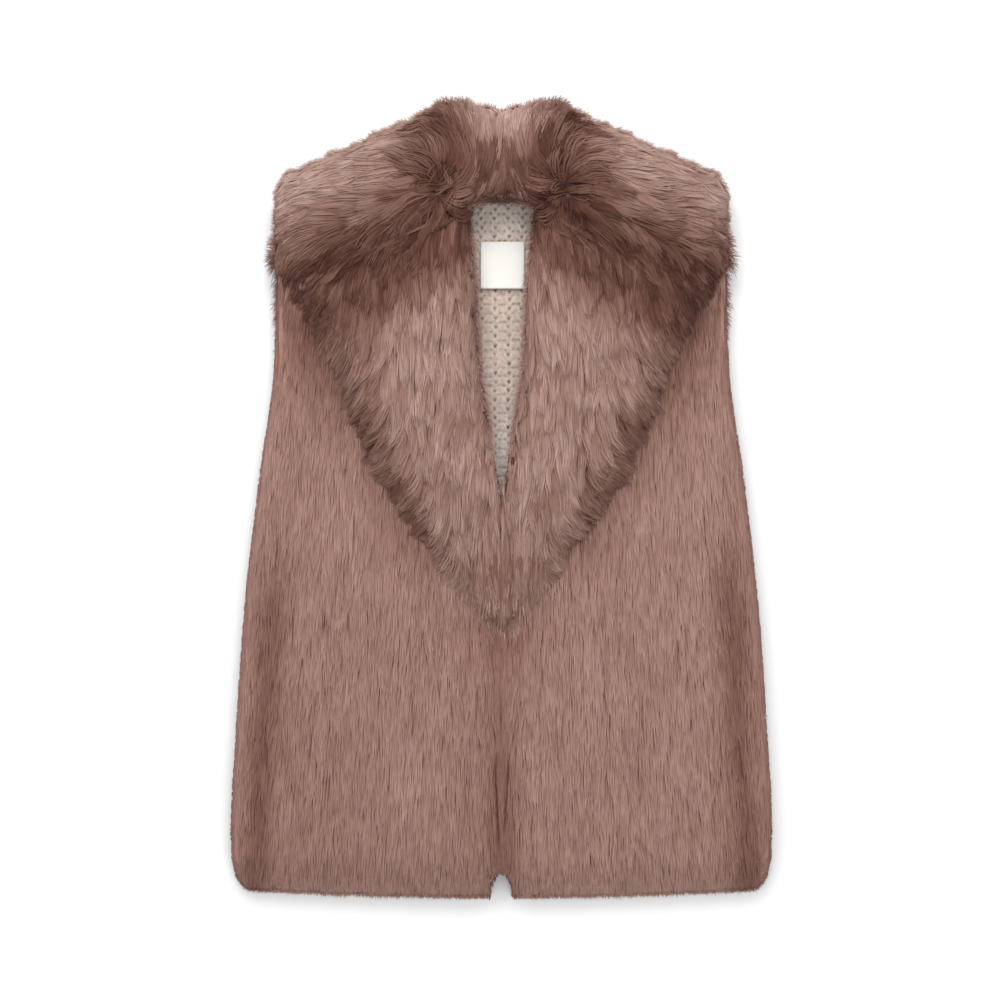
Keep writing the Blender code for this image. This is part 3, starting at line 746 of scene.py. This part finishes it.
class Coat:
    """The fur of one solid: strands that lie along a flow and gather into locks."""

    levels = np.array((0.0, 0.30, 0.65, 1.0))       # where a strand has its points
    lift = np.array((-6.5, -2.6, -1.3, -0.8)) * MM  # height over the surface there
    droop = 1.1                           # steepest way down, as a slope
    steps = 14
    lowest = -0.3                         # it has roots where the normal points up more
    covers = ()                           # pieces that lie on it
    merge = None                          # where all its strands lie on the relief
    reach = (1.0 * MM, 5.0 * MM)          # how far tips stand past the outline
    overlap = None                        # how far they lie over the next piece
    gather = ((0.026, 0.30), (0.0085, 0.38))  # spacing of the locks, how tight they are
    narrow = 1.0                          # how many times longer than wide a lock is
    even = 0.0                            # how alike in length its strands are
    stray = math.radians(6.0)             # how far they turn from the flow
    wave = math.radians(3.0)
    drift = 2.0 * MM                      # how far beside them their flow is read
    sink = 1.0 * MM                       # how far locks lie under their neighbours
    depth = 2.2 * MM                      # spread of strands in height
    # Painted shade between the locks
    parting_shade = 0.10                        # how much darker a lock's border is
    moods = (1.0, 1.0)                    # powers of the shade that locks take
    # Painted shade and light along narrow lines and small spots
    painted_lines = staticmethod(plain_shade)     # narrow dark lines on its strands
    closed = False                        # True where the pelt is the whole closed surface
    pelt_depth = PELT_DEPTH
    pelt_gain = 1.0
    fringe = 0                            # strands along the outline
    fringe_length = 14.0 * MM
    fringe_reach = (1.0 * MM, 6.0 * MM)
    shaggy = None                         # where the outline's strands are longer

    def __init__(self, node, seed, traits):
        self.node = node
        self.skin = skins[node]
        self.rng = np.random.default_rng(seed)
        for name, value in traits.items():
            setattr(self, name, value)

    def covered(self, place):
        """True where another piece of the vest lies on a place of the upper side."""
        start = Vector(place) + Vector((0.0, 0.0, 0.5 * MM))
        up = Vector((0.0, 0.0, 1.0))
        if self.skin.tree.ray_cast(start, up)[0] is not None:
            return False
        return any(cover.tree.ray_cast(start, up)[0] is not None for cover in self.covers)

    def roots(self, count):
        """Places for the roots, none deep under another piece of the vest."""
        places = self.skin.scatter(self.rng, count, self.lowest)
        if not self.covers:
            return places
        angle = self.flow(*flank(places))
        ahead = places.copy()
        ahead[:, 0] += np.sign(places[:, 0]) * np.sin(angle) * UNDER_EDGE
        ahead[:, 1] -= np.cos(angle) * UNDER_EDGE
        kept = np.array([not self.covered(place) or not self.covered(further)
                         for place, further in zip(places.tolist(), ahead.tolist())])
        if self.merge:
            kept |= self.merge(*flank(places)) > 0.5
        return places[kept]

    def habits(self, count):
        """How some strands grow, each on its own."""
        draw = self.rng
        habits = np.zeros(count, HABITS)
        habits["length"] = self.length * draw.uniform(0.65, 1.25, count)
        habits["turn"] = draw.normal(0.0, self.stray, count)
        habits["deep"] = draw.random(count) ** 1.4
        habits["reach"] = self.reach[0] + (self.reach[1] - self.reach[0]) * draw.random(count) ** 2
        habits["overlap"] = draw.uniform(0.08, 1.0, count)
        habits["drift_x"] = draw.normal(0.0, self.drift, count)
        habits["drift_y"] = draw.normal(0.0, self.drift, count)
        return habits

    def alike(self, habits, locks):
        """Habits of strands that take after their locks."""
        habits["length"] += (locks["length"] * 0.95 - habits["length"]) * self.even
        habits["turn"] = locks["turn"] + 0.45 * habits["turn"]
        habits["deep"] = self.depth * habits["deep"] + self.sink * locks["deep"]
        habits["reach"] += (locks["reach"] - habits["reach"]) * self.even
        habits["overlap"] = locks["overlap"] * (0.45 + 0.6 * habits["overlap"])
        for name in ("drift_x", "drift_y"):
            habits[name] = locks[name] + 0.4 * habits[name]
        return habits

    def heading(self, x, y, habits):
        """Level unit steps along the flow, for strands with their own turns and drifts."""
        side = np.where(x >= 0.0, 1.0, -1.0)
        wave = np.sin(x * 61.0 + 1.3) * np.sin(y * 37.0 + self.phase)
        wave = wave + 0.6 * np.sin(x * 143.0 + self.phase) * np.sin(y * 71.0 + 0.7)
        across = np.abs(x + habits["drift_x"])
        angle = self.flow(across, y + habits["drift_y"]) + habits["turn"] + self.wave * wave
        return side * np.sin(angle), -np.cos(angle)

    def trace(self, places, habits):
        """Paths of strands from their roots, and the surface's normals along them."""
        upper = relief.sample(relief.raw, places[:, 0], places[:, 1]) - places[:, 2] < NEAR_TOP
        if self.merge:
            upper |= self.merge(*flank(places)) > 0.5
        self.beside = ~upper
        path = np.empty((len(places), len(self.levels), 3))
        normals = np.empty_like(path)
        for chosen, follow in ((upper, self.trace_upper), (~upper, self.trace_side)):
            if chosen.any():
                path[chosen], normals[chosen] = follow(places[chosen], habits[chosen])
        return path, normals

    def trace_upper(self, places, habits):
        """Strands on the upper side, which lie on the relief and cross its seams."""
        count = len(places)
        x, y = places[:, 0].copy(), places[:, 1].copy()
        z = relief.sample(relief.height, x, y)
        if self.overlap:
            overlap = self.overlap(np.abs(x), y) * habits["overlap"]
        dense = np.empty((self.steps + 1, count, 3))
        cut = np.full(count, 1.0)
        step = habits["length"] / self.steps
        for k in range(self.steps + 1):
            ground = relief.sample(relief.height, x, y)
            z = ground if k == 0 else np.maximum(ground, z - self.droop * step)
            dense[k] = np.stack((x, y, z), axis=1)
            past = relief.sample(relief.outside, x, y) > habits["reach"]
            if self.overlap:
                past |= relief.sample(self.away, x, y) > overlap
            cut = np.where(past & (cut > k / self.steps), k / self.steps, cut)
            way_x, way_y = self.heading(x, y, habits)
            slope = (relief.sample(relief.slope_x, x, y) * way_x
                     + relief.sample(relief.slope_y, x, y) * way_y)
            level = step / np.sqrt(1.0 + np.clip(slope, -self.droop, 1.5) ** 2)
            x = x + way_x * level
            y = y + way_y * level
        cut = np.maximum(cut, SHORTEST)
        path = np.empty((count, len(self.levels), 3))
        normals = np.empty_like(path)
        row = np.arange(count)
        for k, (share, lift) in enumerate(zip(self.levels, self.lift)):
            at = np.minimum(share * cut * self.steps, self.steps - 0.001)
            before = at.astype(int)
            part = (at - before)[:, None]
            path[:, k] = dense[before, row] * (1.0 - part) + dense[before + 1, row] * part
            path[:, k, 2] += lift - habits["deep"] * min(1.0, 2.0 * share)
            slope_x = relief.sample(relief.slope_x, path[:, k, 0], path[:, k, 1])
            slope_y = relief.sample(relief.slope_y, path[:, k, 0], path[:, k, 1])
            normals[:, k] = np.stack((-slope_x, -slope_y, np.ones(count)), axis=1)
            normals[:, k, :2] = np.clip(normals[:, k, :2], -STEEPEST, STEEPEST)
        return path, unit(normals)

    def trace_side(self, places, habits):
        """Strands on the edges and the underside, which lie on the solid's own surface."""
        steps = len(self.levels) - 1
        place, normal = self.skin.settle(places)
        path, normals = [place + normal * self.lift[0] * 0.6], [normal]
        for step in range(steps):
            way_x, way_y = self.heading(place[:, 0], place[:, 1], habits)
            way = np.stack((way_x, way_y, np.full(len(place), -SIDE_FALL)), axis=1)
            way = way - normal * dots(way, normal)[:, None]
            part = self.levels[step + 1] - self.levels[step]
            goal = place + unit(way) * (habits["length"] * part)[:, None]
            place, normal = self.skin.settle(goal)
            path.append(place + normal * (self.lift[step + 1] - habits["deep"])[:, None])
            normals.append(normal)
        return np.stack(path, axis=1), np.stack(normals, axis=1)

    def locks(self, spacing):
        """Guide strands about as far apart as the spacing: roots, paths and habits."""
        area = self.skin.area[self.skin.normals[:, 2] > self.lowest].sum()
        places = self.skin.scatter(self.rng, int(area / spacing ** 2), self.lowest)
        habits = self.habits(len(places))
        shallow = habits.copy()
        shallow["deep"] = 0.5 * MM
        path, _ = self.trace(places, shallow)
        return places, path, habits

    def nearest(self, roots, guides):
        """Numbers of the nearest guides, in a measure in which locks are as wide as long."""
        measure = np.array((self.narrow, 1.0, 1.0))
        tree = KDTree(len(guides))
        for k, guide in enumerate((guides * measure).tolist()):
            tree.insert(guide, k)
        tree.balance()
        return np.array([tree.find(root)[1] for root in (roots * measure).tolist()])

    def pull(self, path, guide_paths, amount):
        """Draws strands towards their guides, more at the tip."""
        share = self.levels ** 1.3 * amount
        path[:, :, :2] += (guide_paths - path)[:, :, :2] * share[None, :, None]

    def rim(self):
        """Fine strands along the outline, which turn outwards: paths, normals and roots."""
        places = self.skin.scatter(self.rng, self.fringe * 30, 0.0)
        x, y = places[:, 0], places[:, 1]
        near = relief.sample(relief.to_bare, x, y) < RIM_CELLS * RELIEF_CELL
        near &= relief.sample(relief.raw, x, y) - places[:, 2] < NEAR_TOP
        places = places[near][:self.fringe]
        x, y = places[:, 0], places[:, 1]
        count = len(places)
        habits = self.habits(count)
        low, high = self.fringe_reach
        longer = self.shaggy(np.abs(x), y) if self.shaggy else np.ones(count)
        habits["length"] = self.fringe_length * self.rng.uniform(0.5, 1.3, count) * longer
        habits["deep"] = self.rng.uniform(0.0, 1.0 * MM, count)
        habits["reach"] = (low + (high - low) * self.rng.random(count) ** 1.5) * longer
        habits["overlap"] = 1.0
        side = np.where(x >= 0.0, 1.0, -1.0)
        out_x = relief.sample(relief.out_x, x, y) * side
        outwards = np.arctan2(out_x, -relief.sample(relief.out_y, x, y))
        turn = outwards - self.flow(np.abs(x), y)
        turn = np.arctan2(np.sin(turn), np.cos(turn))
        habits["turn"] = 1.6 * habits["turn"] + turn * self.rng.uniform(0.15, 0.85, count)
        usual, self.droop = self.droop, FRINGE_DROOP
        path, normals = self.trace(places, habits)
        self.droop = usual
        normals[:, :, 2] += 1.0
        return path, unit(normals), places

    def grow(self):
        """Mesh of all the strands, each a narrow ribbon that ends in a point."""
        self.phase = self.rng.uniform(0.0, 6.0)
        if self.overlap:
            self.away = distance_to(relief.owner == self.node, OVERLAP_CELLS)
        (wide, wide_pull), (fine, fine_pull) = self.gather
        wide_roots, wide_paths, _ = self.locks(wide)
        fine_roots, fine_paths, fine_habits = self.locks(fine)
        self.pull(fine_paths, wide_paths[self.nearest(fine_roots, wide_roots)], wide_pull)
        roots = self.roots(self.count)
        lock = self.nearest(roots, fine_roots)
        count = len(roots)
        habits = self.alike(self.habits(count), fine_habits[lock])
        if self.shaggy:
            habits["reach"] *= np.maximum(self.shaggy(*flank(roots)), 1.0)
        path, normals = self.trace(roots, habits)
        # Painted light on the strands of the edges, where shade falls
        painted_light = np.where(self.beside, SIDE_PAINTED_LIGHT, 1.0)
        self.pull(path, fine_paths[lock], fine_pull)
        tone = 0.4 * self.rng.random(count) + 0.6 * self.rng.random(len(fine_roots))[lock]
        mood = self.rng.uniform(*self.moods, len(fine_roots))[lock]
        shade = painted_light * self.shade(*flank(roots)) ** mood
        shade = shade * (1.0 - DEEP_SHADE * habits["deep"] / (self.depth + self.sink))
        apart = np.linalg.norm(roots - fine_roots[lock], axis=1) / fine
        shade = shade * (1.0 - self.parting_shade * smooth_step(apart, 0.3, 0.8))
        thin = np.ones(count)
        if self.fringe:
            rim_path, rim_normals, rim_roots = self.rim()
            path = np.concatenate((path, rim_path))
            normals = np.concatenate((normals, rim_normals))
            extra = len(rim_roots)
            tone = np.concatenate((tone, self.rng.random(extra)))
            shade = np.concatenate((shade, self.shade(*flank(rim_roots)) * RIM_SHADE))
            thin = np.concatenate((thin, np.full(extra, RIM_WIDTH)))
        path[:, :, 2] = np.maximum(path[:, :, 2], OFF_FLOOR)
        shade = shade[:, None] * self.painted_lines(path[:, :, 0], path[:, :, 1])
        return self.ribbons(path, normals, tone, shade, thin)

    def ribbons(self, path, normals, tone, shade, thin):
        """Mesh of narrow ribbons along some paths, with each point's tone and shade."""
        count, levels = path.shape[:2]
        along = np.empty_like(path)
        along[:, 1:-1] = path[:, 2:] - path[:, :-2]
        along[:, 0] = path[:, 1] - path[:, 0]
        along[:, -1] = path[:, -1] - path[:, -2]
        along = unit(along)
        side = unit(np.cross(along, normals))
        roll = self.rng.uniform(-ROLL, ROLL, count)[:, None, None]
        side = side * np.cos(roll) + np.cross(side, along) * np.sin(roll)
        taper = 1.0 - TAPER * self.levels[:-1] ** 2
        width = self.width * thin * self.rng.uniform(0.7, 1.3, count)
        half = side[:, :-1] * (width[:, None] * taper[None, :] / 2.0)[:, :, None]
        pairs = np.stack((path[:, :-1] - half, path[:, :-1] + half), axis=2)
        points = np.concatenate((pairs.reshape(count, -1, 3), path[:, -1:]), axis=1)
        each = points.shape[1]
        base = (np.arange(count) * each)[:, None]
        faces = [base + 2 * k + np.array((0, 1, 3, 2)) for k in range(levels - 2)]
        faces.append(base + np.array((each - 3, each - 2, each - 1)))
        loops = np.concatenate(faces, axis=1).ravel()
        sizes = np.tile([4] * (levels - 2) + [3], count)
        mesh = bpy.data.meshes.new("fur_" + self.node)
        mesh.vertices.add(count * each)
        mesh.vertices.foreach_set("co", points.ravel())
        mesh.loops.add(len(loops))
        mesh.loops.foreach_set("vertex_index", loops)
        mesh.polygons.add(len(sizes))
        mesh.polygons.foreach_set("loop_start", np.concatenate(([0], np.cumsum(sizes)[:-1])))
        mesh.update(calc_edges=True)
        mesh.shade_smooth()
        soft = normals + NORMAL_SPREAD * self.rng.normal(0.0, 1.0, (count, 1, 3))
        soft = np.repeat(unit(soft), 2, axis=1)[:, :-1]
        mesh.normals_split_custom_set_from_vertices(soft.reshape(-1, 3).tolist())
        colours = np.ones((count, each, 4))
        colours[:, :, 0] = np.repeat(self.levels, 2)[:-1]
        colours[:, :, 1] = tone[:, None]
        colours[:, :, 2] = np.repeat(shade, 2, axis=1)[:, :-1]
        paint(mesh, "strand", colours)
        return mesh


def dress(node, seed, traits):
    """Replaces a fur solid with its pelt, and grows its coat on it."""
    coat = Coat(node, seed, traits)
    skin, name = coat.skin, "pelt_" + node
    if coat.closed:
        mesh = skin.inset(name, coat.pelt_depth)
    else:
        mesh = skin.shell(name, coat.pelt_depth, PELT_WALL)
    pelt = new_piece(name, mesh, pelt_material("pelt " + node, coat.pelt_gain))
    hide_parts(node)
    fur = new_piece("fur_" + node, coat.grow(), fur_material("fur " + node, *coat.look))


def stitch_noise(row, column, turn):
    """A number from -1 to 1 for each stitch, the same in each run."""
    value = np.sin(row * 12.99 + column * 78.23 + turn) * 437.585
    return 2.0 * (value - np.floor(value)) - 1.0


def from_mark(x, y, over, down, stray, turns):
    """Way from the nearest mark of the stitches to each place, and a number of that mark's own."""
    column = np.round((x - STITCH_START) / STITCH_WIDTH - over) + over
    row = np.round((y - KNIT_NECK) / STITCH_HEIGHT - down) + down
    dx = x - STITCH_START - column * STITCH_WIDTH - 0.9 * MM * stitch_noise(row, column, turns[0])
    dy = y - KNIT_NECK - row * STITCH_HEIGHT - stray * stitch_noise(row, column, turns[1])
    return dx, dy, stitch_noise(row, column, turns[2])


def knit_relief(x, y):
    """Height of the knit, from 0 to 1, and its lightness: at each side of a stitch a hole that
    is widest at its top between two slanting legs, and a flat dash half a row lower. The
    lightness is painted shade in the holes and dashes, a painted highlight on the legs and
    painted light at the low end and the top of the open neck."""
    dx, dy, own = from_mark(x, y, 0.0, 0.0, 0.8 * MM, (0.0, 1.7, 3.1))
    wide = 1.55 * MM * np.clip(1.0 + 0.30 * dy / MM, 0.35, 1.6)
    hole = (0.78 + 0.22 * own) * np.exp(-(dx / wide) ** 2 - (dy / (1.9 * MM)) ** 2)
    leg = bell(np.abs(dx) - 2.9 * MM - 0.32 * dy, 1.2 * MM)
    leg = leg * (0.6 + 0.4 * np.cos(2.0 * math.pi * dy / STITCH_HEIGHT))
    dx, dy, own = from_mark(x, y, 0.5, 0.53, 0.7 * MM, (0.4, 2.2, 5.3))
    dy = dy + 0.04 * dx ** 2 / MM - 0.3 * MM
    inside = fade(np.abs(dx), 2.0 * MM, 4.0 * MM)
    ends = bell(np.abs(dx) - 3.1 * MM, 0.9 * MM)
    dense = smooth_step(y, 0.246, 0.262)
    spots = (0.50 - 0.25 * dense) * inside + (0.72 + 0.60 * dense) * ends
    dash = (0.75 + 0.25 * own) * spots * bell(dy / (1.15 + 0.30 * dense), MM)
    height = 0.60 + 0.45 * leg - 0.85 * hole - 0.65 * dash
    # Painted shade in the holes and dashes, and a painted highlight on the legs
    light = 0.96 + 0.16 * leg - 0.86 * hole - 0.58 * dash
    # Painted light low in the opening and at its top, where the knit lies deep in shade between
    # the fur
    painted_light = 0.38 * fade(y, 0.040, 0.100) + 0.34 * smooth_step(y, 0.240, 0.285)
    painted_light = painted_light + 0.35 * fade(y, 0.005, 0.050)
    return height, light * (1.0 + painted_light)


def grid(columns, rows):
    """Faces of a grid of points, row by row, and its border's points in order."""
    each = columns + 1
    faces = [(k, k + 1, k + each + 1, k + each)
             for j in range(rows) for k in range(j * each, j * each + columns)]
    border = list(range(columns)) + [j * each + columns for j in range(rows)]
    border += [rows * each + i for i in range(columns, 0, -1)]
    border += [j * each for j in range(rows, 0, -1)]
    return faces, border


def build_knit():
    """The knitted ground of the back: a backing, and its looped face where the neck is open."""
    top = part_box("back_knit")[1][2]
    backing = new_piece("knit_backing", skins["back_knit"].inset("knit_backing", 0.4 * MM),
                        knit_backing_material())
    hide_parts("back_knit")
    rows = int((KNIT_NECK - KNIT_LOW) / KNIT_CELL)
    y = np.linspace(KNIT_LOW, KNIT_NECK, rows + 1)
    half = np.interp(y, OPENING_HEIGHT, OPENING_HALF)
    x = np.linspace(-1.0, 1.0, KNIT_COLUMNS + 1)[None, :] * half[:, None]
    y = np.repeat(y[:, None], KNIT_COLUMNS + 1, axis=1)
    height, light = knit_relief(x, y)
    places = np.stack((x, y, np.zeros_like(x)), axis=2).reshape(-1, 3)
    fuzz = np.array([field_noise.noise(Vector(place) * 700.0)
                     + field_noise.noise(Vector(place) * 260.0) for place in places.tolist()])
    height = np.clip(height.ravel() + 0.30 * fuzz, 0.0, 1.4)
    places[:, 2] = top - 0.2 * MM + KNIT_RISE * height
    light = np.clip(light.ravel() + 0.20 * fuzz, 0.12, 1.60)
    faces, border = grid(KNIT_COLUMNS, rows)
    foot = places[border]
    foot[:, 2] = top - 1.0 * MM
    ring = list(range(len(places), len(places) + len(border)))
    faces += [(b, a, c, d) for a, b, c, d in
              zip(border, border[1:] + border[:1], ring, ring[1:] + ring[:1])]
    faces.append(tuple(reversed(ring)))
    mesh = solid_mesh("knit_loops", np.vstack((places, foot)), faces)
    # Painted shade and light of the loops, and painted shade on the foot round their edge
    shade = np.concatenate((light, np.full(len(border), 0.5)))
    paint(mesh, "loops", np.stack((shade, shade, shade, np.ones_like(shade)), axis=1))
    loops = new_piece("knit_loops", mesh, yarn_material())


def build_label():
    """Bare woven label with turned edges, lifting a little off the knit at its lower edge."""
    low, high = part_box("label")
    width, length = high[0] - low[0], high[1] - low[1]
    points = []
    for layer in (1.0, 0.0):
        for j in range(LABEL_ROWS + 1):
            for i in range(LABEL_COLUMNS + 1):
                u, v = i / LABEL_COLUMNS, j / LABEL_ROWS
                edge = min(min(u, 1.0 - u) * width, min(v, 1.0 - v) * length)
                rim = max(0.0, 1.0 - edge / LABEL_RIM)
                wave = 0.5 * MM * math.sin(3.1 * u + 1.0) * math.sin(2.4 * v + 0.6)
                lift = 1.6 * MM * (1.0 - v) ** 3 + 1.9 * MM
                z = low[2] + lift + wave + (LABEL_WALL + 0.25 * MM * rim) * layer
                points.append((low[0] + width * u, low[1] + length * v, z))
    count = len(points) // 2
    quads, border = grid(LABEL_COLUMNS, LABEL_ROWS)
    faces = []
    for quad in quads:
        faces += [quad, tuple(k + count for k in reversed(quad))]
    for a, b in zip(border, border[1:] + border[:1]):
        faces.append((b, a, a + count, b + count))
    label = new_piece("neck_label", solid_mesh("neck_label", points, faces), label_material())
    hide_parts("label")


def build_floor():
    """Plain floor that the vest lies on."""
    low, high = -FLOOR_HALF, FLOOR_HALF
    points = [(low, low, 0.0), (high, low, 0.0), (high, high, 0.0), (low, high, 0.0)]
    mesh = solid_mesh("floor", points, [(0, 1, 2, 3)])
    mesh.materials.append(floor_material())
    link_object("floor", mesh)


def area_light(name, place, aim, size, power):
    """Soft light from a rectangle at a place, aimed at another."""
    light = bpy.data.lights.new(name, "AREA")
    light.shape = "RECTANGLE"
    light.size, light.size_y = size
    light.energy = power
    lamp = link_object(name, light)
    lamp.location = place
    way = Vector(aim) - Vector(place)
    lamp.rotation_euler = way.to_track_quat("-Z", "Y").to_euler()


def build_studio():
    """Soft light from all round, with a broad key from beyond the collar."""
    world = bpy.data.worlds.new("studio")
    world.use_nodes = True
    background = world.node_tree.nodes["Background"]
    background.inputs["Color"].default_value = (1.0, 1.0, 1.0, 1.0)
    background.inputs["Strength"].default_value = SKY_STRENGTH
    bpy.context.scene.world = world
    area_light("key", (-0.25, 1.7, 1.7), (0.0, 0.05, 0.0), (1.8, 1.0), 42.0)
    area_light("fill", (0.6, -1.6, 2.2), (0.0, 0.0, 0.0), (1.6, 1.6), 10.0)
    camera_data = bpy.data.cameras.new("camera")
    camera_data.lens = LENS
    camera_data.sensor_width = SENSOR
    camera = link_object("camera", camera_data)
    distance = PHOTO_WIDTH * LENS / SENSOR
    camera.location = (*VIEW_CENTRE, VIEW_PLANE + distance)
    bpy.context.scene.camera = camera
    view = bpy.context.scene.view_settings
    view.view_transform = "Standard"
    view.look = "None"


skins = {name: Skin(name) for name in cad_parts}
upper = [skins[name] for name in ("lapel_left", "lapel_right", "collar_left", "collar_right")]
pressed = [skins[name] for name in ("front_left", "front_right", "collar_under", "back_fur")]
relief = Relief(upper + pressed, [skins["back_knit"], skins["label"]])


# How the coat of each fur piece grows, its slot, its look and the size that its cloth was cut to
FRONT = dict(
    slot="fur_front", look=Look(0.97, 0.10, (1.0, 1.02, 1.02)), cut=(0.29, 0.80),
    cut_area=0.21, count=42000, length=36.0 * MM, width=1.35 * MM,
    flow=front_flow, shade=front_shade, painted_lines=front_painted_slits, merge=low_end,
    covers=upper, gather=((0.026, 0.20), (0.0075, 0.08)), narrow=2.2,
    stray=math.radians(3.2), wave=math.radians(1.2), depth=1.6 * MM, sink=0.4 * MM,
    reach=(0.5 * MM, 2.8 * MM), pelt_depth=FRONT_PELT_DEPTH, pelt_gain=1.40,
    fringe=3400, fringe_length=11.0 * MM, fringe_reach=(3.0 * MM, 9.0 * MM),
    shaggy=shaggy_front)
LAPEL = dict(
    slot="fur_lapel", look=Look(1.0, 0.22, (1.0, 1.07, 1.08)), cut=(0.24, 0.40),
    cut_area=0.058, count=22500, length=42.0 * MM, width=1.3 * MM,
    flow=lapel_flow, shade=lapel_shade, merge=lapel_merge, overlap=lapel_overlap,
    gather=((0.020, 0.40), (0.0080, 0.58)), narrow=1.5, stray=math.radians(9.0),
    even=0.4, sink=2.2 * MM, parting_shade=0.28, moods=(0.7, 1.4),
    reach=(1.0 * MM, 4.0 * MM), fringe=1700, fringe_reach=(2.5 * MM, 8.0 * MM),
    shaggy=shaggy_lapel)
COLLAR = dict(
    slot="fur_collar", look=Look(1.0, 0.18, (1.0, 1.09, 1.10)), cut=(0.27, 0.16),
    cut_area=0.036, count=15000, length=46.0 * MM, width=1.35 * MM,
    levels=np.array((0.0, 0.22, 0.48, 0.74, 1.0)),
    lift=np.array((-7.5, -3.0, -1.6, -0.8, -0.3)) * MM,
    flow=collar_flow, shade=collar_shade, painted_lines=collar_painted_lines, merge=collar_merge,
    overlap=collar_overlap, gather=((0.020, 0.35), (0.0080, 0.58)),
    stray=math.radians(11.0), drift=2.2 * MM, even=0.4, sink=2.4 * MM,
    parting_shade=0.18, moods=(0.6, 1.5), reach=(1.0 * MM, 4.0 * MM), pelt_gain=0.45,
    fringe=3000, fringe_length=12.0 * MM, fringe_reach=(2.5 * MM, 7.5 * MM),
    shaggy=shaggy_wing)
UNDER_COLLAR = dict(
    slot="fur_collar", look=Look(0.9, 0.2, (1.0, 1.0, 1.0)), cut=(0.32, 0.14),
    cut_area=0.030, count=6000, length=34.0 * MM, width=1.5 * MM,
    flow=collar_flow, shade=collar_shade, covers=upper)
BACK = dict(
    slot="fur_back", look=Look(0.95, 0.17, (1.0, 1.0, 1.0)), cut=(0.56, 0.76),
    cut_area=0.36, count=14000, length=36.0 * MM, width=1.8 * MM,
    flow=back_flow, shade=plain_shade, covers=(skins["back_knit"],), lowest=-1.1,
    lift=np.array((-3.0, -1.5, -0.8, -0.3)) * MM, closed=True, pelt_depth=4.0 * MM)

for number, side in enumerate(("left", "right")):
    dress("front_" + side, 11 + number, FRONT)
    dress("lapel_" + side, 21 + number, LAPEL)
    dress("collar_" + side, 31 + number, COLLAR)
dress("collar_under", 41, UNDER_COLLAR)
dress("back_fur", 51, BACK)
build_knit()
build_label()
build_floor()
build_studio()
